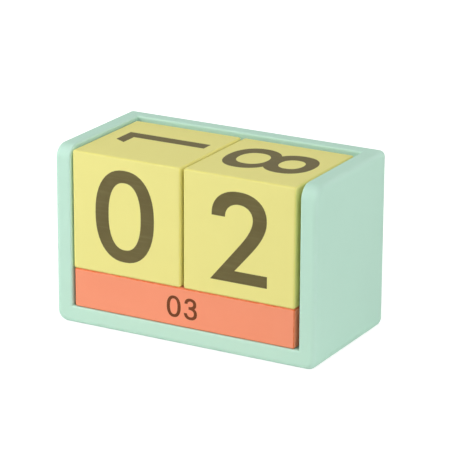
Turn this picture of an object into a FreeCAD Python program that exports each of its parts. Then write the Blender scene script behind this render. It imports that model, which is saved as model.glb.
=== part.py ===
"""Perpetual desk calendar: an open case that holds two day cubes standing on three month bars.

The case stands on z = 0 with its open front towards -Y, its width along X, and its footprint
centred on the origin. Everything is in millimetres.
"""
import FreeCAD, Part

import os

import Sketcher
from FreeCAD import Placement, Rotation, Vector

doc = FreeCAD.newDocument("DeskCalendar")

# ---------------------------------------------------------------------------------------------
# Driving dimensions
# ---------------------------------------------------------------------------------------------
# The case is sized by what it holds: the outer size of about 120 x 60 x 75 follows from the
# cubes, the board and the clearances below.
DIMENSIONS = [
    ("board", 7.6, "thickness of the four case boards"),
    ("cube_side", 50.0, "edge length of a day cube"),
    ("cube_round", 1.0, "edge radius of a day cube"),
    ("bar_round", 0.8, "edge radius of a month bar"),
    ("left_play", 0.8, "free space between the left side board and the left cube"),
    ("middle_play", 1.4, "free space between the two cubes"),
    ("right_play", 2.2, "free space between the right cube and the right side board"),
    ("back_play", 2.1, "free space between the cubes and the back board"),
    ("front_setback", 0.3, "depth of the blocks' faces behind the front of the case"),
    ("rim_height", 1.3, "height of the case's rim above the tops of the cubes"),
    ("bar_spacing", 0.4, "free space between two month bars"),
    ("bar_under_play", 0.1, "free space under a month bar, so that it slides on the painted base"),
    ("bar_left_play", 1.2, "free space at the left end of a month bar"),
    ("bar_right_play", 2.1, "free space at the right end of a month bar"),
    ("foot_round", 4.5, "radius of the case's two long bottom corners, seen from the front"),
    ("shoulder_round", 6.0, "radius of the side boards' front top corners, seen from the side"),
    ("outer_round", 2.5, "sanded radius of the case's outer edges"),
    ("rim_round", 1.0, "sanded radius of the rim's inner edges"),
]

sizes = doc.addObject("Spreadsheet::Sheet", "sizes")
for row, (alias, value, meaning) in enumerate(DIMENSIONS, start=1):
    sizes.set("A%d" % row, meaning)
    sizes.set("B%d" % row, str(value))
    sizes.setAlias("B%d" % row, alias)
doc.recompute()

# Sizes that follow from the driving ones, as expressions on the sheet
INSIDE_WIDTH = ("(sizes.left_play + 2 * sizes.cube_side + sizes.middle_play"
                " + sizes.right_play)")
INSIDE_DEPTH = "(sizes.front_setback + sizes.cube_side + sizes.back_play)"
CASE_WIDTH = "(%s + 2 * sizes.board)" % INSIDE_WIDTH
CASE_DEPTH = "(%s + sizes.board)" % INSIDE_DEPTH
BAR_SIDE = "((sizes.cube_side - 2 * sizes.bar_spacing) / 3)"
BAR_LENGTH = "(%s - sizes.bar_left_play - sizes.bar_right_play)" % INSIDE_WIDTH
BAR_FOOT = "(sizes.board + sizes.bar_under_play)"
BAR_TOP = "(%s + %s)" % (BAR_FOOT, BAR_SIDE)
CASE_HEIGHT = "(%s + sizes.cube_side + sizes.rim_height)" % BAR_TOP

LEFT_INSIDE = "(-%s / 2)" % INSIDE_WIDTH
FRONT = "(-%s / 2)" % CASE_DEPTH
BLOCK_FRONT = "(%s + sizes.front_setback)" % FRONT


# ---------------------------------------------------------------------------------------------
# Helpers
# ---------------------------------------------------------------------------------------------
def origin_plane(body, role):
    """The body's own origin plane with the given role, such as XY_Plane."""
    for feature in body.Origin.OriginFeatures:
        if feature.Role == role:
            return feature
    raise ValueError("no origin plane " + role)


def rectangle_sketch(body, name, plane, left, low, width, height, offset=None):
    """A fully constrained rectangle on an origin plane of the body.

    left, low, width and height are expressions; left and low place the lower left corner
    from the sketch's origin. offset is an expression along the plane's normal.
    """
    sketch = body.newObject("Sketcher::SketchObject", name)
    sketch.AttachmentSupport = [(origin_plane(body, plane), "")]
    sketch.MapMode = "FlatFace"
    if offset:
        sketch.setExpression("AttachmentOffset.Base.z", offset)
    doc.recompute()

    # starting shape near its final place, so that the solver settles the right way round
    x0 = evaluate(sketch, left)
    y0 = evaluate(sketch, low)
    x1 = x0 + evaluate(sketch, width)
    y1 = y0 + evaluate(sketch, height)
    corners = [Vector(x0, y0, 0), Vector(x1, y0, 0), Vector(x1, y1, 0), Vector(x0, y1, 0)]
    for start, end in zip(corners, corners[1:] + corners[:1]):
        sketch.addGeometry(Part.LineSegment(start, end), False)
    bottom, right, top, left_side = range(4)
    for first, second in ((bottom, right), (right, top), (top, left_side), (left_side, bottom)):
        sketch.addConstraint(Sketcher.Constraint("Coincident", first, 2, second, 1))
    sketch.addConstraint(Sketcher.Constraint("Horizontal", bottom))
    sketch.addConstraint(Sketcher.Constraint("Horizontal", top))
    sketch.addConstraint(Sketcher.Constraint("Vertical", right))
    sketch.addConstraint(Sketcher.Constraint("Vertical", left_side))

    ORIGIN = (-1, 1)
    dimensions = (
        ("DistanceX", (bottom, 1, bottom, 2), x1 - x0, width),
        ("DistanceY", (right, 1, right, 2), y1 - y0, height),
        ("DistanceX", ORIGIN + (bottom, 1), x0, left),
        ("DistanceY", ORIGIN + (bottom, 1), y0, low),
    )
    for kind, points, value, expression in dimensions:
        number = sketch.addConstraint(Sketcher.Constraint(kind, *points, value))
        sketch.setExpression("Constraints[%d]" % number, expression)
    doc.recompute()
    return sketch


def evaluate(holder, expression):
    """The number that an expression on the sheet gives."""
    value = holder.evalExpression(expression)
    return float(getattr(value, "Value", value))


def number(expression):
    return evaluate(sizes, expression)


def fillet(body, name, base, radius, wanted):
    """Round the edges of the base feature for which wanted(edge) is true."""
    edges = ["Edge%d" % count for count, edge in enumerate(base.Shape.Edges, start=1)
             if wanted(edge)]
    if not edges:
        raise RuntimeError("no edge to round for " + name)
    feature = body.newObject("PartDesign::Fillet", name)
    feature.Base = (base, edges)
    feature.setExpression("Radius", radius)
    base.Visibility = False
    doc.recompute()
    return feature


def on_plane(edge, axis, value):
    """Whether every point of the edge has the given coordinate along the axis."""
    box = edge.BoundBox
    low = (box.XMin, box.YMin, box.ZMin)[axis]
    high = (box.XMax, box.YMax, box.ZMax)[axis]
    return abs(low - value) < 1e-4 and abs(high - value) < 1e-4


X, Y, Z = range(3)


# ---------------------------------------------------------------------------------------------
# Case: four glued boards, rounded together after the glue has set
# ---------------------------------------------------------------------------------------------
# The boards' outer edges run on from one board to the next, so the whole rounded form is
# made first and then parted at the glue lines.
case_form = doc.addObject("PartDesign::Body", "case_form")

outline = rectangle_sketch(case_form, "case_outline", "XZ_Plane",
                           "-%s / 2" % CASE_WIDTH, "0", CASE_WIDTH, CASE_HEIGHT)
block = case_form.newObject("PartDesign::Pad", "case_block")
block.Profile = outline
block.Midplane = True
block.setExpression("Length", CASE_DEPTH)
outline.Visibility = False
doc.recompute()
solid_volume = block.Shape.Volume

# The hollow is open at the top and at the front. Its sketch lies on the front of the case,
# and a pocket cuts against its sketch's normal, which points to -Y.
hollow_outline = rectangle_sketch(case_form, "hollow_outline", "XZ_Plane",
                                  LEFT_INSIDE, "sizes.board",
                                  INSIDE_WIDTH, CASE_HEIGHT, offset="%s / 2" % CASE_DEPTH)
hollow = case_form.newObject("PartDesign::Pocket", "case_hollow")
hollow.Profile = hollow_outline
hollow.setExpression("Length", INSIDE_DEPTH)
hollow_outline.Visibility = False
doc.recompute()
hollow_volume = number("%s * %s * (%s - sizes.board)" % (INSIDE_WIDTH, INSIDE_DEPTH, CASE_HEIGHT))
if abs(solid_volume - hollow.Shape.Volume - hollow_volume) > 1.0:
    raise RuntimeError("the hollow was not cut out of the case")

half_width = number("%s / 2" % CASE_WIDTH)
half_depth = number("%s / 2" % CASE_DEPTH)
half_inside = number("%s / 2" % INSIDE_WIDTH)
case_height = number(CASE_HEIGHT)
floor_height = number("sizes.board")
back_inside = number("%s + %s" % (FRONT, INSIDE_DEPTH))


def on_side(edge):
    return on_plane(edge, X, -half_width) or on_plane(edge, X, half_width)


def on_side_inside(edge):
    return on_plane(edge, X, -half_inside) or on_plane(edge, X, half_inside)


def is_foot_edge(edge):
    """The case's two long bottom corners."""
    return on_side(edge) and on_plane(edge, Z, 0)


def is_shoulder_edge(edge):
    """The front top corners of the two side boards."""
    return on_plane(edge, Y, -half_depth) and on_plane(edge, Z, case_height)


def is_outer_edge(edge):
    """The outline of the case, seen from the front, the back and the top."""
    on_front = on_plane(edge, Y, -half_depth)
    on_back = on_plane(edge, Y, half_depth)
    on_top = on_plane(edge, Z, case_height)
    on_bottom = on_plane(edge, Z, 0)
    box = edge.BoundBox
    foot_corner = (on_front or on_back) and box.ZMax < floor_height and box.ZLength > 0.01
    shoulder = on_side(edge) and box.YLength > 0.01 and box.ZLength > 0.01
    straight = ((on_side(edge) and (on_front or on_back or on_top))
                or (on_back and on_top) or (on_bottom and (on_front or on_back)))
    return straight or shoulder or foot_corner


def is_rim_edge(edge):
    """The inner edges of the rim that frames the blocks, at the front and round the top."""
    on_front = on_plane(edge, Y, -half_depth)
    on_top = on_plane(edge, Z, case_height)
    box = edge.BoundBox
    shoulder = on_side_inside(edge) and box.YLength > 0.01 and box.ZLength > 0.01
    return (on_side_inside(edge) and (on_front or on_top)) or shoulder \
        or (on_front and on_plane(edge, Z, floor_height)) \
        or (on_top and on_plane(edge, Y, back_inside))


feet = fillet(case_form, "foot_corners", hollow, "sizes.foot_round", is_foot_edge)
shoulders = fillet(case_form, "shoulder_corners", feet, "sizes.shoulder_round", is_shoulder_edge)
outside = fillet(case_form, "outer_edges", shoulders, "sizes.outer_round", is_outer_edge)
rim = fillet(case_form, "rim_edges", outside, "sizes.rim_round", is_rim_edge)


def case_board(label, left, front, low, width, depth, height):
    """The board of the case that lies within the given block of space."""
    region = doc.addObject("Part::Box", label + "_region")
    region.setExpression("Length", width)
    region.setExpression("Width", depth)
    region.setExpression("Height", height)
    region.setExpression("Placement.Base.x", left)
    region.setExpression("Placement.Base.y", front)
    region.setExpression("Placement.Base.z", low)
    board = doc.addObject("Part::Common", label)
    board.Base = case_form
    board.Tool = region
    board.Label = label
    region.Visibility = False
    doc.recompute()
    return board


# The side boards run the full depth and height. The back board stands between them, and the
# base board lies between them in front of the back board: butt joints, glued, filled and painted.
BACK_INSIDE = "(%s + %s)" % (FRONT, INSIDE_DEPTH)
left_side = case_board("left_side_panel", "-%s / 2" % CASE_WIDTH, FRONT, "0",
                       "sizes.board", CASE_DEPTH, CASE_HEIGHT)
right_side = case_board("right_side_panel", "%s / 2" % INSIDE_WIDTH, FRONT, "0",
                        "sizes.board", CASE_DEPTH, CASE_HEIGHT)
base = case_board("base_panel", LEFT_INSIDE, FRONT, "0",
                  INSIDE_WIDTH, INSIDE_DEPTH, "sizes.board")
back = case_board("back_panel", LEFT_INSIDE, BACK_INSIDE, "0",
                  INSIDE_WIDTH, "sizes.board", CASE_HEIGHT)


# ---------------------------------------------------------------------------------------------
# Blocks: two day cubes and three month bars
# ---------------------------------------------------------------------------------------------
def rounded_block(label, width, depth, height, radius, left, front, low):
    """A square-cut block with all its edges rounded, its lower left front corner at the origin."""
    body = doc.addObject("PartDesign::Body", label)
    body.Label = label
    foot = rectangle_sketch(body, label + "_foot", "XY_Plane", "0", "0", width, depth)
    pad = body.newObject("PartDesign::Pad", label + "_block")
    pad.Profile = foot
    pad.setExpression("Length", height)
    foot.Visibility = False
    doc.recompute()
    fillet(body, label + "_edges", pad, radius, lambda edge: True)
    body.setExpression("Placement.Base.x", left)
    body.setExpression("Placement.Base.y", front)
    body.setExpression("Placement.Base.z", low)
    doc.recompute()
    return body


# The cubes stand side by side on the bars' tops and lift straight out.
left_cube = rounded_block("left_day_cube", "sizes.cube_side", "sizes.cube_side",
                          "sizes.cube_side", "sizes.cube_round",
                          "%s + sizes.left_play" % LEFT_INSIDE, BLOCK_FRONT, BAR_TOP)
right_cube = rounded_block("right_day_cube", "sizes.cube_side", "sizes.cube_side",
                           "sizes.cube_side", "sizes.cube_round",
                           "%s + sizes.left_play + sizes.cube_side + sizes.middle_play"
                           % LEFT_INSIDE, BLOCK_FRONT, BAR_TOP)

# The bars lie one behind the other on the base board and together are as deep as a cube.
bars = []
for place, label in enumerate(("front_month_bar", "middle_month_bar", "rear_month_bar")):
    behind = "%s + %d * (%s + sizes.bar_spacing)" % (BLOCK_FRONT, place, BAR_SIDE)
    bars.append(rounded_block(label, BAR_LENGTH, BAR_SIDE, BAR_SIDE, "sizes.bar_round",
                              "%s + sizes.bar_left_play" % LEFT_INSIDE, behind, BAR_FOOT))

# ---------------------------------------------------------------------------------------------
# Check and write
# ---------------------------------------------------------------------------------------------
doc.recompute()
pieces = [left_side, right_side, base, back, left_cube, right_cube] + bars
for item in doc.Objects:
    if "Invalid" in item.State or "Error" in item.State:
        raise RuntimeError("%s did not recompute: %s" % (item.Name, item.State))
for piece in pieces:
    if piece.Shape.isNull() or not piece.Shape.isValid() or len(piece.Shape.Solids) != 1:
        raise RuntimeError("%s is not one valid solid" % piece.Label)

os.makedirs("parts", exist_ok=True)
for piece in pieces:
    piece.Shape.exportStep("parts/%s.step" % piece.Label)
    box = piece.Shape.BoundBox
    print("%-18s x %7.2f %7.2f  y %7.2f %7.2f  z %6.2f %6.2f  volume %9.1f" % (
        piece.Label, box.XMin, box.XMax, box.YMin, box.YMax, box.ZMin, box.ZMax,
        piece.Shape.Volume))
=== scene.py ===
"""Perpetual desk calendar: two day cubes standing on three month bars in an open painted case.

Everything is in metres in the part's own frame: the case stands on z = 0 with its open front
towards -Y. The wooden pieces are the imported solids; this script paints them, prints their
numbers and sets the light and the camera.
"""

import math

import bpy
import numpy as np
from mathutils import Matrix, Vector
from mathutils.geometry import delaunay_2d_cdt


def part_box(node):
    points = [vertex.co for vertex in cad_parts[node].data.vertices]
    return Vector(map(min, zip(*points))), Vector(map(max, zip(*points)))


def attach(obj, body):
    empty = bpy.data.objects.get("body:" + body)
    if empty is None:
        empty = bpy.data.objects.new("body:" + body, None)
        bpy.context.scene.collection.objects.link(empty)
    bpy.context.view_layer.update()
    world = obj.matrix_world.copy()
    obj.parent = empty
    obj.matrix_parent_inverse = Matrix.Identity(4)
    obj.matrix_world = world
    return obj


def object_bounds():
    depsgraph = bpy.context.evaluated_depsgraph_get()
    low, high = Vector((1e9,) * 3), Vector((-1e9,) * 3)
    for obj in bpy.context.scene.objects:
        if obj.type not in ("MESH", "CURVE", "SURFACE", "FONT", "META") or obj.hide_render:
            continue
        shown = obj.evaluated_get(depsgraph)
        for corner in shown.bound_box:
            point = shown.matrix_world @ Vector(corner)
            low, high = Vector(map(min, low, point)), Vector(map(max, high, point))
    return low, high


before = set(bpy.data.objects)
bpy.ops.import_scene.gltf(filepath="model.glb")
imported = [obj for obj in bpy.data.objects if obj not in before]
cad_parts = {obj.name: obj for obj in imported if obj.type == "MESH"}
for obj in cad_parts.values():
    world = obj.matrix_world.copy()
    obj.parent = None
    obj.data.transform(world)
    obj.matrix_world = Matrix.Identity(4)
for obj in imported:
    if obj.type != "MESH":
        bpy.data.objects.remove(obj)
cad_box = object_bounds()
MM = 0.001


# ---------------------------------------------------------------------------------------------
# Case: four boards of fibreboard, glued, filled and sanded round, then sprayed with two coats of
# mint satin paint. The paint runs over the glue lines, so the boards read as one piece. On the
# rounded edges it is drawn out thin and sanded, which leaves them duller. Their colour is painted a
# little paler there, partly for the thinner paint and partly as a painted highlight along the
# edges.
# ---------------------------------------------------------------------------------------------
def srgb(red, green, blue):
    """A colour written as 0-255 screen values, turned to the linear light that shaders use."""
    screen = np.array((red, green, blue)) / 255.0
    linear = np.where(screen <= 0.04045, screen / 12.92, ((screen + 0.055) / 1.055) ** 2.4)
    return (*linear.tolist(), 1.0)


def node(tree, kind, sockets=None, **settings):
    """A shader node with its settings. sockets gives each input, by name or number, a plain
    value or the output that feeds it."""
    made = tree.nodes.new(kind)
    for name, value in settings.items():
        setattr(made, name, value)
    for key, value in (sockets or {}).items():
        if isinstance(value, bpy.types.NodeSocket):
            tree.links.new(value, made.inputs[key])
        else:
            made.inputs[key].default_value = value
    return made


def shader_group(name, inputs, outputs):
    """An empty shader node group with named sockets, and its two end nodes."""
    tree = bpy.data.node_groups.new(name, "ShaderNodeTree")
    for direction, sockets in (("INPUT", inputs), ("OUTPUT", outputs)):
        for label, kind in sockets.items():
            tree.interface.new_socket(label, in_out=direction, socket_type="NodeSocket" + kind)
    return tree, node(tree, "NodeGroupInput").outputs, node(tree, "NodeGroupOutput").inputs


def calc(tree, operation, *values):
    """The output of a Math node on up to three numbers or sockets."""
    return node(tree, "ShaderNodeMath", dict(enumerate(values)), operation=operation).outputs[0]


def blended(tree, share, first, second, how="MIX"):
    """The colour output of a Mix node."""
    return node(tree, "ShaderNodeMix", {0: share, 6: first, 7: second},
                data_type="RGBA", blend_type=how).outputs[2]


def rounded_edge_group():
    """Where a square-cut block is rounded: on a flat face the largest part of the normal is 1,
    and along a rounded edge it drops to 0.71, so one less that part marks the edge."""
    tree, given, result = shader_group("rounded_edge", {"Normal": "Vector"}, {"Edge": "Float"})
    size = node(tree, "ShaderNodeVectorMath", {0: given["Normal"]}, operation="ABSOLUTE").outputs[0]
    part = node(tree, "ShaderNodeSeparateXYZ", {0: size}).outputs
    largest = calc(tree, "MAXIMUM", calc(tree, "MAXIMUM", part[0], part[1]), part[2])
    edge = node(tree, "ShaderNodeMapRange", {0: largest, 1: 0.985, 2: 0.76, 3: 0.0, 4: 1.0},
                interpolation_type="SMOOTHSTEP").outputs[0]
    tree.links.new(edge, result["Edge"])
    return tree


def sprayed_coat_group():
    """A sprayed coat: broad cloudy differences in its thickness, the fine orange skin that the
    droplets leave, and a few specks of dust caught under it. Along rounded edges, broken up by
    noise, it mixes in the Thin colour, which the paints use partly for thinner paint and partly
    for painted shade and a painted highlight."""
    tree, given, result = shader_group(
        "sprayed_coat",
        {"Position": "Vector", "Edge": "Float", "Paint": "Color", "Thin": "Color",
         "Cloud": "Float", "Gloss": "Float"},
        {"Color": "Color", "Roughness": "Float", "Height": "Float"})

    def speckle(scale, detail):
        return node(tree, "ShaderNodeTexNoise",
                    {"Vector": given["Position"], "Scale": scale, "Detail": detail}).outputs[0]

    cloud = speckle(38.0, 3.0)
    flow = speckle(420.0, 2.0)
    skin = speckle(1500.0, 1.0)
    dust_cells = node(tree, "ShaderNodeTexVoronoi",
                      {"Vector": given["Position"], "Scale": 170.0}).outputs[0]
    dust = node(tree, "ShaderNodeMapRange", {0: dust_cells, 1: 0.035, 2: 0.0}).outputs[0]

    # Edge mask for the Thin colour: the yellow and coral paints put painted shade there, and the
    # mint a painted highlight.
    thin_paint_and_painted_light = calc(tree, "MULTIPLY", given["Edge"],
                node(tree, "ShaderNodeMapRange", {0: flow, 1: 0.30, 2: 0.62, 3: 0.35}).outputs[0])
    uneven = calc(tree, "MULTIPLY", calc(tree, "SUBTRACT", cloud, 0.5), given["Cloud"])
    share = node(tree, "ShaderNodeMath", {0: calc(tree, "ADD", thin_paint_and_painted_light, uneven), 1: 0.0},
                 operation="ADD", use_clamp=True).outputs[0]
    deeper = calc(tree, "MAXIMUM", calc(tree, "MULTIPLY", uneven, -0.35), 0.0)
    # The Thin colour on the edges: painted shade for yellow and coral, a painted highlight for
    # mint, over partly thinner paint.
    color = blended(tree, share, given["Paint"], given["Thin"])
    color = blended(tree, deeper, color, given["Paint"], "MULTIPLY")
    tree.links.new(color, result["Color"])

    duller = calc(tree, "MULTIPLY_ADD", given["Edge"], 0.07, given["Gloss"])
    rough = calc(tree, "MULTIPLY_ADD", calc(tree, "SUBTRACT", flow, 0.5), 0.10, duller)
    tree.links.new(rough, result["Roughness"])

    height = calc(tree, "MULTIPLY_ADD", skin, 0.55, calc(tree, "MULTIPLY", flow, 1.2))
    height = calc(tree, "MULTIPLY_ADD", dust, 1.6, height)
    tree.links.new(height, result["Height"])
    return tree


ROUNDED_EDGE = rounded_edge_group()
SPRAYED_COAT = sprayed_coat_group()


def painted(name, paint, thin, cloud, gloss, skin_depth):
    """A material of sprayed paint over a block with rounded edges. Returns it with its tree, its
    Texture Coordinate outputs and its Bump node."""
    material = bpy.data.materials.new(name)
    material.use_nodes = True
    tree = material.node_tree
    surface = tree.nodes["Principled BSDF"]
    place = node(tree, "ShaderNodeTexCoord").outputs
    edge = node(tree, "ShaderNodeGroup", node_tree=ROUNDED_EDGE)
    tree.links.new(place["Normal"], edge.inputs["Normal"])
    coat = node(tree, "ShaderNodeGroup", node_tree=SPRAYED_COAT)
    for key, value in {"Position": place["Object"], "Edge": edge.outputs["Edge"], "Paint": paint,
                       "Thin": thin, "Cloud": cloud, "Gloss": gloss}.items():
        if isinstance(value, bpy.types.NodeSocket):
            tree.links.new(value, coat.inputs[key])
        else:
            coat.inputs[key].default_value = value
    bump = node(tree, "ShaderNodeBump", {"Strength": 1.0, "Distance": skin_depth,
                                         "Height": coat.outputs["Height"]})
    tree.links.new(coat.outputs["Color"], surface.inputs["Base Color"])
    tree.links.new(coat.outputs["Roughness"], surface.inputs["Roughness"])
    tree.links.new(bump.outputs["Normal"], surface.inputs["Normal"])
    surface.inputs["IOR"].default_value = 1.48
    surface.inputs["Specular IOR Level"].default_value = 0.18
    return material, tree, place, bump


# The second colour, a little paler, is partly thinner paint and partly a painted highlight on the
# edges.
mint_paint = painted("mint_satin_paint", srgb(192, 229, 211), srgb(195, 230, 214),
                     cloud=0.35, gloss=0.58, skin_depth=0.012 * MM)[0]
for board in ("left_side_panel", "right_side_panel", "base_panel", "back_panel"):
    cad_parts[board].material_slots[0].material = mint_paint


# ---------------------------------------------------------------------------------------------
# Day cubes: two solid wooden cubes with lightly rounded edges, sprayed pale yellow. The wood's
# grain runs from side to side and shows through the paint as faint ridges. Along the rounded edges
# the yellow is painted deeper and more saturated, a painted shade for the dim, strongly coloured
# light in the narrow gaps between the cubes and the case.
# ---------------------------------------------------------------------------------------------
def grain_group():
    """Ridges of wood grain under paint: noise drawn out along the length of the wood."""
    tree, given, result = shader_group("grain_under_paint", {"Position": "Vector"},
                                       {"Height": "Float"})
    drawn_out = node(tree, "ShaderNodeVectorMath", {0: given["Position"], 1: (22.0, 620.0, 620.0)},
                     operation="MULTIPLY").outputs[0]
    ridges = node(tree, "ShaderNodeTexNoise",
                  {"Vector": drawn_out, "Scale": 1.0, "Detail": 3.0, "Distortion": 0.3}).outputs[0]
    tree.links.new(ridges, result["Height"])
    return tree


GRAIN_UNDER_PAINT = grain_group()


def painted_wood(name, paint, thin, cloud, gloss, skin_depth, grain_depth):
    """Sprayed paint with the grain of the wood showing through as a second, broader bump."""
    material, tree, place, bump = painted(name, paint, thin, cloud, gloss, skin_depth)
    grain = node(tree, "ShaderNodeGroup", node_tree=GRAIN_UNDER_PAINT)
    tree.links.new(place["Object"], grain.inputs["Position"])
    under = node(tree, "ShaderNodeBump", {"Strength": 1.0, "Distance": grain_depth,
                                          "Height": grain.outputs["Height"]})
    tree.links.new(under.outputs["Normal"], bump.inputs["Normal"])
    return material


# The second colour, deeper and more saturated, is painted shade for the gaps along the cube edges.
yellow_paint = painted_wood("yellow_satin_paint", srgb(236, 229, 143), srgb(236, 228, 130),
                            cloud=0.30, gloss=0.64, skin_depth=0.010 * MM,
                            grain_depth=0.014 * MM)
for cube in ("left_day_cube", "right_day_cube"):
    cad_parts[cube].material_slots[0].material = yellow_paint


# ---------------------------------------------------------------------------------------------
# Month bars: three square wooden bars, one behind the other, sprayed coral. Along their edges the
# coral is painted a deeper orange, a painted shade for the dark line in the grooves where a bar
# meets the cubes and the case.
# ---------------------------------------------------------------------------------------------
# The second colour, a deeper orange, is painted shade for the grooves along the bar edges.
coral_paint = painted_wood("coral_satin_paint", srgb(247, 153, 119), srgb(224, 111, 54),
                           cloud=0.30, gloss=0.64, skin_depth=0.010 * MM,
                           grain_depth=0.014 * MM)
for bar in ("front_month_bar", "middle_month_bar", "rear_month_bar"):
    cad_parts[bar].material_slots[0].material = coral_paint


# ---------------------------------------------------------------------------------------------
# Numbers of the day cubes: screen-printed in one pass of dark ink, a film a few hundredths of a
# millimetre thick on each face. The left cube has 0 to 5 and the right one 0, 1, 2, 6, 7 and 8;
# the 6 is turned over for a 9. The figures are of even weight, round, with square-cut ends.
# ---------------------------------------------------------------------------------------------
def oval(across, up, wide, high, start, end, fullness=2.2):
    """An arc of a superellipse about (across, up), from one angle to another in degrees: the
    cosine and sine, each raised to 2 / fullness with its sign kept, times the half width and
    half height. Above 2 the sides are fuller than an ellipse's."""
    turn = np.radians(np.linspace(start, end, 25))
    cosine, sine = np.cos(turn), np.sin(turn)
    return np.stack([across + wide * np.sign(cosine) * np.abs(cosine) ** (2 / fullness),
                     up + high * np.sign(sine) * np.abs(sine) ** (2 / fullness)], axis=1)


def bend(*corners):
    """A cubic curve on four control points: their sum, weighted by the Bernstein polynomials.
    Two points give a straight line and one gives a point that is stayed at."""
    t = np.linspace(0, 1, 25)[:, None]
    points = np.array(corners, float)
    if len(points) == 4:
        weights = np.hstack([(1 - t) ** 3, 3 * t * (1 - t) ** 2, 3 * t ** 2 * (1 - t), t ** 3])
        return weights @ points
    return points[0] + t * (points[-1] - points[0])


def stroke(first_edge, second_edge):
    """A stroke of the brush as a surface between its two edges: for t along and s across it,
    (1 - s) times the first edge at t plus s times the second, with s 0 or 1."""
    return np.stack([np.vstack(first_edge), np.vstack(second_edge)], axis=1)


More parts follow.
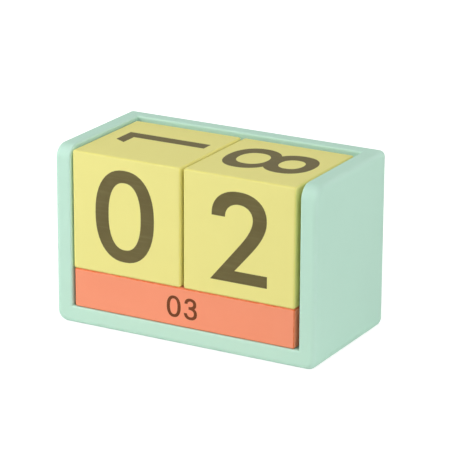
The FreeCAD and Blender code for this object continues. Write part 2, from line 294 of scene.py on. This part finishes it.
# Each figure is a list of strokes, in millimetres about the middle of the face: 37.6 high, with
# round ones a little over, strokes 6 wide where they stand and 5 where they lie.
FIGURES = {
    0: [stroke([oval(0, 0, 13.65, 19.25, 0, 180, 2.27), oval(0, 0, 13.65, 19.25, 180, 360, 2.27)],
               [oval(0, 0, 7.5, 14.1, 0, 180, 2.33), oval(0, 0, 7.5, 14.1, 180, 360, 2.33)])],
    1: [stroke([bend((-4.4, 18.8), (6.95, 18.8)), bend((6.95, 18.8), (6.95, -18.8))],
               [bend((-6.95, 13.9), (1.2, 13.9)), bend((1.2, 13.9), (1.2, -18.8))])],
    2: [stroke([bend((-12.16, 7.8), (-12.16, 8.32)), oval(0.16, 8.32, 12.32, 10.47, 180, 0),
                bend((12.47, 8.32), (12.47, 3.17), (9.07, -1.4), (4.96, -6.2)),
                bend((4.96, -6.2), (-1.85, -13.96)), bend((-1.85, -13.96), (12.74, -13.96))],
               [bend((-6.12, 7.8), (-6.12, 8.01)), oval(0.08, 8.01, 6.2, 5.57, 180, 0, 2.1),
                bend((6.28, 8.01), (6.28, 4.1), (2.74, -0.41), (-0.5, -4.25)),
                bend((-0.5, -4.25), (-12.75, -18.8)), bend((-12.75, -18.8), (12.74, -18.8))])],
    3: [stroke([oval(-0.3, 9.0, 11.5, 10.2, 180, 90), oval(-0.3, 9.4, 11.4, 9.8, 90, 0),
                bend((11.1, 9.4), (11.1, 5.6), (9.9, 3.1), (7.2, 1.5)), bend((7.2, 1.5)),
                bend((7.2, 1.5), (10.7, -0.2), (12.5, -3.6), (12.5, -7.9)),
                oval(-0.3, -7.9, 12.8, 11.3, 0, -90), oval(-0.3, -8.2, 12.6, 11.0, -90, -180)],
               [oval(-0.3, 9.0, 5.6, 5.2, 180, 90), oval(-0.3, 9.2, 5.5, 5.0, 90, 0),
                bend((5.2, 9.2), (5.2, 5.9), (2.8, 4.1), (-3.9, 4.1)),
                bend((-3.9, 4.1), (-3.9, -0.8)),
                bend((-3.9, -0.8), (3.6, -0.8), (6.5, -3.4), (6.5, -7.6)),
                oval(-0.3, -7.6, 6.8, 6.6, 0, -90), oval(-0.3, -8.2, 6.6, 6.0, -90, -180)])],
    4: [stroke([bend((3.4, 18.8), (3.4, -18.8))], [bend((9.3, 18.8), (9.3, -18.8))]),
        stroke([bend((-14.2, -6.9), (14.4, -6.9))], [bend((-14.2, -11.9), (14.4, -11.9))]),
        stroke([bend((1.9, 18.8), (-14.2, -6.9))], [bend((8.3, 18.8), (-7.8, -6.9))])],
    5: [stroke([bend((10.4, 18.8), (-9.0, 18.8)), bend((-9.0, 18.8), (-10.5, -2.2)),
                bend((-10.5, -2.2), (-8.0, -0.7), (-4.4, 0.2), (-0.4, 0.2)),
                oval(-0.4, -7.2, 6.8, 7.4, 90, 0), oval(-0.4, -7.2, 6.8, 7.0, 0, -90),
                oval(-0.4, -8.4, 6.4, 5.8, -90, -180)],
               [bend((10.4, 13.9), (-4.0, 13.9)), bend((-4.0, 13.9), (-4.8, 3.7)),
                bend((-4.8, 3.7), (-3.2, 4.6), (-1.6, 5.1), (0.3, 5.1)),
                oval(0.3, -7.0, 12.1, 12.1, 90, 0), oval(0.3, -7.0, 12.1, 12.2, 0, -90),
                oval(0.3, -8.4, 12.9, 10.8, -90, -180)])],
    6: [stroke([oval(0.3, -6.9, 12.6, 12.3, 0, 180), oval(0.3, -6.9, 12.6, 12.3, 180, 360)],
               [oval(0.3, -6.9, 6.6, 7.3, 0, 180), oval(0.3, -6.9, 6.6, 7.3, 180, 360)]),
        stroke([bend((2.7, 18.8), (-7.4, 5.0)),
                bend((-7.4, 5.0), (-10.6, 0.6), (-12.3, -2.8), (-12.3, -6.9))],
               [bend((10.0, 18.8), (0.2, 5.4)),
                bend((0.2, 5.4), (-2.6, 3.6), (-5.4, 0.4), (-6.3, -6.9))])],
    7: [stroke([bend((-12.6, 18.8), (12.6, 18.8)), bend((12.6, 18.8), (-2.0, -18.8))],
               [bend((-12.6, 13.9), (4.5, 13.9)), bend((4.5, 13.9), (-8.5, -18.8))])],
    8: [stroke([bend((8.0, 0.6), (10.5, 2.3), (12.3, 5.2), (12.3, 9.2)),
                oval(0, 9.2, 12.3, 10.25, 0, 180),
                bend((-12.3, 9.2), (-12.3, 5.2), (-10.5, 2.3), (-8.0, 0.6))],
               [oval(0, 9.3, 6.0, 5.1, -90, 0), oval(0, 9.3, 6.0, 5.1, 0, 180),
                oval(0, 9.3, 6.0, 5.1, 180, 270)]),
        stroke([bend((-8.0, 0.6), (-11.4, -1.2), (-13.65, -4.6), (-13.65, -9.0)),
                oval(0, -9.0, 13.65, 10.45, 180, 360),
                bend((13.65, -9.0), (13.65, -4.6), (11.4, -1.2), (8.0, 0.6))],
               [oval(0, -8.0, 7.6, 6.5, 90, 180), oval(0, -8.0, 7.6, 6.5, 180, 360),
                oval(0, -8.0, 7.6, 6.5, 0, 90)]),
        stroke([bend((8.0, 0.6), (0.0, 4.2))], [bend((0.0, -1.5), (-8.0, 0.6))])],
}
FIGURES[9] = [-strip for strip in FIGURES[6]]
INK_THICKNESS = 0.04 * MM


def merged(strips):
    """One flat sheet of triangles over all the strokes of a figure, so that strokes which cross
    leave no line. Returns its points and triangles."""
    points, quads, count = [], [], 0
    for strip in strips:
        steps = len(strip)
        along = count + 2 * np.arange(steps - 1)
        quads.append(np.stack([along, along + 1, along + 3, along + 2], axis=1))
        points.append(strip.reshape(-1, 2))
        count += 2 * steps
    points, quads = np.vstack(points), np.vstack(quads)
    # the filling takes as solid only quads that run anticlockwise
    diagonal = points[quads[:, 2:]] - points[quads[:, :2]]
    area = diagonal[:, 0, 0] * diagonal[:, 1, 1] - diagonal[:, 0, 1] * diagonal[:, 1, 0]
    quads[area < 0] = quads[area < 0, ::-1]
    corners = [Vector(p) for p in points.tolist()]
    found = delaunay_2d_cdt(corners, [], quads[np.abs(area) > 1e-6].tolist(), 1, 1e-4, True)
    inside = [face for face, source in zip(found[2], found[5]) if source]
    return np.array([tuple(p) for p in found[0]]), np.array(inside)


SHEETS = {figure: merged(strips) for figure, strips in FIGURES.items()}


def ink_film(flat, triangles, centre, right, up):
    """A closed film over a flat sheet: each point goes to centre + x right + y up, half the
    film's thickness above and below the face, with a wall along the sheet's open edges."""
    right, up = np.array(right, float), np.array(up, float)
    face = np.array(centre) + MM * (flat[:, :1] * right + flat[:, 1:] * up)
    lift = np.cross(right, up) * INK_THICKNESS / 2
    count = len(face)
    sides = np.concatenate([triangles[:, [0, 1]], triangles[:, [1, 2]], triangles[:, [2, 0]]])
    shared = np.isin(sides[:, 0] * count + sides[:, 1], sides[:, 1] * count + sides[:, 0])
    rim = sides[~shared]
    walls = np.stack([rim[:, 1], rim[:, 0], rim[:, 0] + count, rim[:, 1] + count], axis=1)
    faces = triangles.tolist() + (triangles[:, ::-1] + count).tolist() + walls.tolist()
    return np.vstack([face + lift, face - lift]), faces


def printed(name, films, ink, body):
    """One piece of several ink films, riding on the body that they are printed on."""
    points, faces, count = [], [], 0
    for film_points, film_faces in films:
        points.append(film_points)
        faces += [[corner + count for corner in face] for face in film_faces]
        count += len(film_points)
    mesh = bpy.data.meshes.new(name)
    mesh.from_pydata(np.vstack(points).tolist(), [], faces)
    mesh.validate()
    mesh.materials.append(ink)
    piece = bpy.data.objects.new(name, mesh)
    bpy.context.scene.collection.objects.link(piece)
    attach(piece, body)
    return piece


def screened_ink_group():
    """Ink pushed through a screen: broad uneven patches, and fine slanting streaks where the
    squeegee left it thinner and the paint shows through."""
    tree, given, result = shader_group(
        "screened_ink", {"Position": "Vector", "Ink": "Color", "Thin": "Color"},
        {"Color": "Color", "Roughness": "Float", "Height": "Float"})
    patches = node(tree, "ShaderNodeTexNoise",
                   {"Vector": given["Position"], "Scale": 110.0, "Detail": 4.0}).outputs[0]
    drawn_out = node(tree, "ShaderNodeMapping",
                     {"Vector": given["Position"], "Rotation": (0.5, 0.4, 0.6),
                      "Scale": (60.0, 900.0, 900.0)}).outputs[0]
    streaks = node(tree, "ShaderNodeTexNoise",
                   {"Vector": drawn_out, "Scale": 1.0, "Detail": 2.0}).outputs[0]
    pale = node(tree, "ShaderNodeMapRange", {0: streaks, 1: 0.50, 2: 0.78}).outputs[0]
    bare = node(tree, "ShaderNodeMapRange", {0: patches, 1: 0.35, 2: 0.75}).outputs[0]
    share = calc(tree, "MULTIPLY_ADD", pale, 0.55, calc(tree, "MULTIPLY", bare, 0.45))
    tree.links.new(blended(tree, share, given["Ink"], given["Thin"]), result["Color"])
    tree.links.new(calc(tree, "MULTIPLY_ADD", patches, 0.18, 0.46), result["Roughness"])
    tree.links.new(streaks, result["Height"])
    return tree


SCREENED_INK = screened_ink_group()


def printing_ink(name, ink, thin):
    """Dark ink over one of the paints."""
    material = bpy.data.materials.new(name)
    material.use_nodes = True
    tree = material.node_tree
    surface = tree.nodes["Principled BSDF"]
    film = node(tree, "ShaderNodeGroup", node_tree=SCREENED_INK)
    tree.links.new(node(tree, "ShaderNodeTexCoord").outputs["Object"], film.inputs["Position"])
    film.inputs["Ink"].default_value = ink
    film.inputs["Thin"].default_value = thin
    bump = node(tree, "ShaderNodeBump", {"Strength": 1.0, "Distance": 0.006 * MM,
                                         "Height": film.outputs["Height"]})
    tree.links.new(film.outputs["Color"], surface.inputs["Base Color"])
    tree.links.new(film.outputs["Roughness"], surface.inputs["Roughness"])
    tree.links.new(bump.outputs["Normal"], surface.inputs["Normal"])
    surface.inputs["IOR"].default_value = 1.5
    surface.inputs["Specular IOR Level"].default_value = 0.06
    return material


ink_on_yellow = printing_ink("olive_brown_ink", srgb(105, 96, 62), srgb(119, 110, 73))

X, Y, Z = np.eye(3)
# For each face of a cube: the way to the figure's right and the way to its top. Their cross
# product points out of the face.
CUBE_FACES = {
    "left_day_cube": ("left_cube", {0: (X, Z), 1: (Y, -X), 2: (-Y, Z), 3: (Z, -Y),
                                    4: (-X, Z), 5: (-X, Y)}),
    "right_day_cube": ("right_cube", {2: (X, Z), 8: (-Y, X), 0: (Y, Z), 1: (Z, Y),
                                      7: (Z, X), 6: (-X, Y)}),
}
# How far each figure sits off the middle of its face, to its right and towards its top in
# millimetres: the cubes are laid under the screen by hand.
OFF_MIDDLE = {("left_cube", 0): (-0.6, 0.6), ("left_cube", 1): (1.7, -1.0),
              ("right_cube", 2): (0.1, 0.4), ("right_cube", 8): (-0.9, 0.35)}
for cube, (body, faces) in CUBE_FACES.items():
    low, high = (np.array(corner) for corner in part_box(cube))
    middle, half = (low + high) / 2, (high - low) / 2
    films = []
    for figure, (right, up) in faces.items():
        flat, triangles = SHEETS[figure]
        place = middle + np.cross(right, up) * half
        films.append(ink_film(flat + OFF_MIDDLE.get((body, figure), (0.0, 0.0)), triangles,
                              place, right, up))
    printed(body + "_numbers", films, ink_on_yellow, body)


# ---------------------------------------------------------------------------------------------
# Numbers of the months: 01 to 12 in small figures of the same ink, one on each long face of the
# three bars. A bar is rolled over to its next month, so the numbers follow one another round it.
# ---------------------------------------------------------------------------------------------
ink_on_coral = printing_ink("red_brown_ink", srgb(114, 66, 42), srgb(131, 75, 48))
# The size of these figures against the cubes', and the step from one to the next in millimetres
MONTH_SCALE = 0.235
FIGURE_PITCH = 33.0 * MONTH_SCALE
# The way to the right and the way to the top on a bar's front, top, back and underside
ROLLED = ((X, Z), (X, Y), (X, -Z), (X, -Y))
FIRST_MONTHS = {"front_month_bar": ("front_bar", (3, 4, 1, 2)),
                "middle_month_bar": ("middle_bar", (5, 6, 7, 8)),
                "rear_month_bar": ("rear_bar", (9, 10, 11, 12))}
for bar, (body, months) in FIRST_MONTHS.items():
    low, high = (np.array(corner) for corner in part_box(bar))
    middle, half = (low + high) / 2, (high - low) / 2
    films = []
    for month, (right, up) in zip(months, ROLLED):
        outward = np.cross(right, up)
        for place, figure in zip((-0.5, 0.5), divmod(month, 10)):
            flat, triangles = SHEETS[figure]
            flat = flat * MONTH_SCALE + (place * FIGURE_PITCH, 0.0)
            films.append(ink_film(flat, triangles, middle + outward * half, right, up))
    printed(body + "_numbers", films, ink_on_coral, body)


# ---------------------------------------------------------------------------------------------
# Floor: a plain pale table top under the calendar, white to the eye and only a little darker
# where the case shades it.
# ---------------------------------------------------------------------------------------------
def seen_directly(tree):
    """1 for rays from the camera, in a reflection or through glass, 0 for light on its way."""
    path = node(tree, "ShaderNodeLightPath").outputs
    either = calc(tree, "MAXIMUM", path["Is Camera Ray"], path["Is Glossy Ray"])
    return calc(tree, "MAXIMUM", either, path["Is Transmission Ray"])


FLOOR_REACH = 4.0
across = np.array([-FLOOR_REACH, FLOOR_REACH])
floor_x, floor_y = np.meshgrid(across, across)
floor_points = np.stack([floor_x.ravel(), floor_y.ravel(), np.zeros(4)], axis=1)
floor_mesh = bpy.data.meshes.new("floor")
floor_mesh.from_pydata(floor_points.tolist(), [], [(0, 1, 3, 2)])
floor = bpy.data.objects.new("floor", floor_mesh)
bpy.context.scene.collection.objects.link(floor)

floor_white = bpy.data.materials.new("pale_table_top")
floor_white.use_nodes = True
floor_tree = floor_white.node_tree
floor_tree.nodes.remove(floor_tree.nodes["Principled BSDF"])
lit = node(floor_tree, "ShaderNodeBsdfDiffuse", {"Color": (0.97, 0.97, 0.97, 1.0)}).outputs[0]
soft = node(floor_tree, "ShaderNodeBsdfDiffuse", {"Color": (0.42, 0.42, 0.42, 1.0)}).outputs[0]
# From the end of the calendar's shadow outwards, the table top turns as white as the room.
SHADOW_ENDS, WHITE_BEGINS, SHADED_GLOW = 0.16, 0.45, 0.78
spot = node(floor_tree, "ShaderNodeTexCoord").outputs["Object"]
away = node(floor_tree, "ShaderNodeVectorMath", {0: spot}, operation="LENGTH").outputs["Value"]
strength = node(floor_tree, "ShaderNodeMapRange",
                {0: away, 1: SHADOW_ENDS, 2: WHITE_BEGINS, 3: SHADED_GLOW, 4: 1.0}).outputs[0]
glow = node(floor_tree, "ShaderNodeEmission",
            {"Color": (1.0, 1.0, 1.0, 1.0), "Strength": strength}).outputs[0]
seen = node(floor_tree, "ShaderNodeAddShader", {0: soft, 1: glow}).outputs[0]
either = node(floor_tree, "ShaderNodeMixShader", {0: seen_directly(floor_tree), 1: lit, 2: seen})
floor_tree.links.new(either.outputs[0], floor_tree.nodes["Material Output"].inputs["Surface"])
floor_mesh.materials.append(floor_white)


# ---------------------------------------------------------------------------------------------
# Studio light: a white room, a soft box close by at the front left, a large high one at the
# front right, and weaker ones at the right, above and behind.
# ---------------------------------------------------------------------------------------------
room = bpy.data.worlds.new("white_room")
bpy.context.scene.world = room
room.use_nodes = True
room_tree = room.node_tree
room_light = room_tree.nodes["Background"]
room_light.inputs["Color"].default_value = (1.0, 1.0, 1.0, 1.0)
room_light.inputs["Strength"].default_value = 0.05
backdrop = node(room_tree, "ShaderNodeBackground", {"Color": (1, 1, 1, 1), "Strength": 1.0})
room_mix = node(room_tree, "ShaderNodeMixShader", {0: seen_directly(room_tree),
                                                   1: room_light.outputs[0],
                                                   2: backdrop.outputs[0]})
room_tree.links.new(room_mix.outputs[0], room_tree.nodes["World Output"].inputs["Surface"])

# Each soft box's place and the side of its square in metres, and its power in watts. All of them
# face the middle of the case.
MIDDLE_OF_CASE = Vector((0, 0, 0.04))
SOFT_BOXES = {
    "key_soft_box": ((-0.56, -0.44, 0.38), 0.50, 4.0),
    "front_soft_box": ((1.30, -1.30, 1.65), 1.10, 17.5),
    "right_soft_box": ((1.30, -0.10, 0.55), 0.80, 5.9),
    "top_soft_box": ((0.0, -0.45, 1.25), 0.80, 2.5),
    "back_soft_box": ((0.15, 1.25, 0.42), 0.70, 6.0),
}
for name, (position, side, power) in SOFT_BOXES.items():
    lamp = bpy.data.lights.new(name, "AREA")
    lamp.size = side
    lamp.energy = power
    stand = bpy.data.objects.new(name, lamp)
    bpy.context.scene.collection.objects.link(stand)
    stand.location = position
    aim = MIDDLE_OF_CASE - stand.location
    stand.rotation_euler = aim.to_track_quat("-Z", "Y").to_euler()


# ---------------------------------------------------------------------------------------------
# Camera: a long lens from the front right and a little above, tilted by a third of a degree.
# ---------------------------------------------------------------------------------------------
AZIMUTH, ELEVATION, TILT = math.radians(28.95), math.radians(18.41), math.radians(0.33)
DISTANCE = 1.080
ASIDE, ABOVE = 6.96 * MM, -0.45 * MM
SENSOR_WIDTH, FOCAL_LENGTH = 36.0, 202.25317

back = Vector((math.sin(AZIMUTH) * math.cos(ELEVATION),
               -math.cos(AZIMUTH) * math.cos(ELEVATION), math.sin(ELEVATION)))
level = Vector((math.cos(AZIMUTH), math.sin(AZIMUTH), 0.0))
upright = back.cross(level)
right = level * math.cos(TILT) + upright * math.sin(TILT)
up = upright * math.cos(TILT) - level * math.sin(TILT)
eye = Vector((0, 0, cad_box[1][2] / 2)) + back * DISTANCE + right * ASIDE + up * ABOVE

camera_data = bpy.data.cameras.new("camera")
camera_data.sensor_width = SENSOR_WIDTH
camera_data.lens = FOCAL_LENGTH
camera_data.clip_start, camera_data.clip_end = 0.05, 20.0
camera = bpy.data.objects.new("camera", camera_data)
bpy.context.scene.collection.objects.link(camera)
camera.matrix_world = Matrix(((right.x, up.x, back.x, eye.x), (right.y, up.y, back.y, eye.y),
                              (right.z, up.z, back.z, eye.z), (0, 0, 0, 1)))
bpy.context.scene.camera = camera
bpy.context.scene.view_settings.view_transform = "Standard"
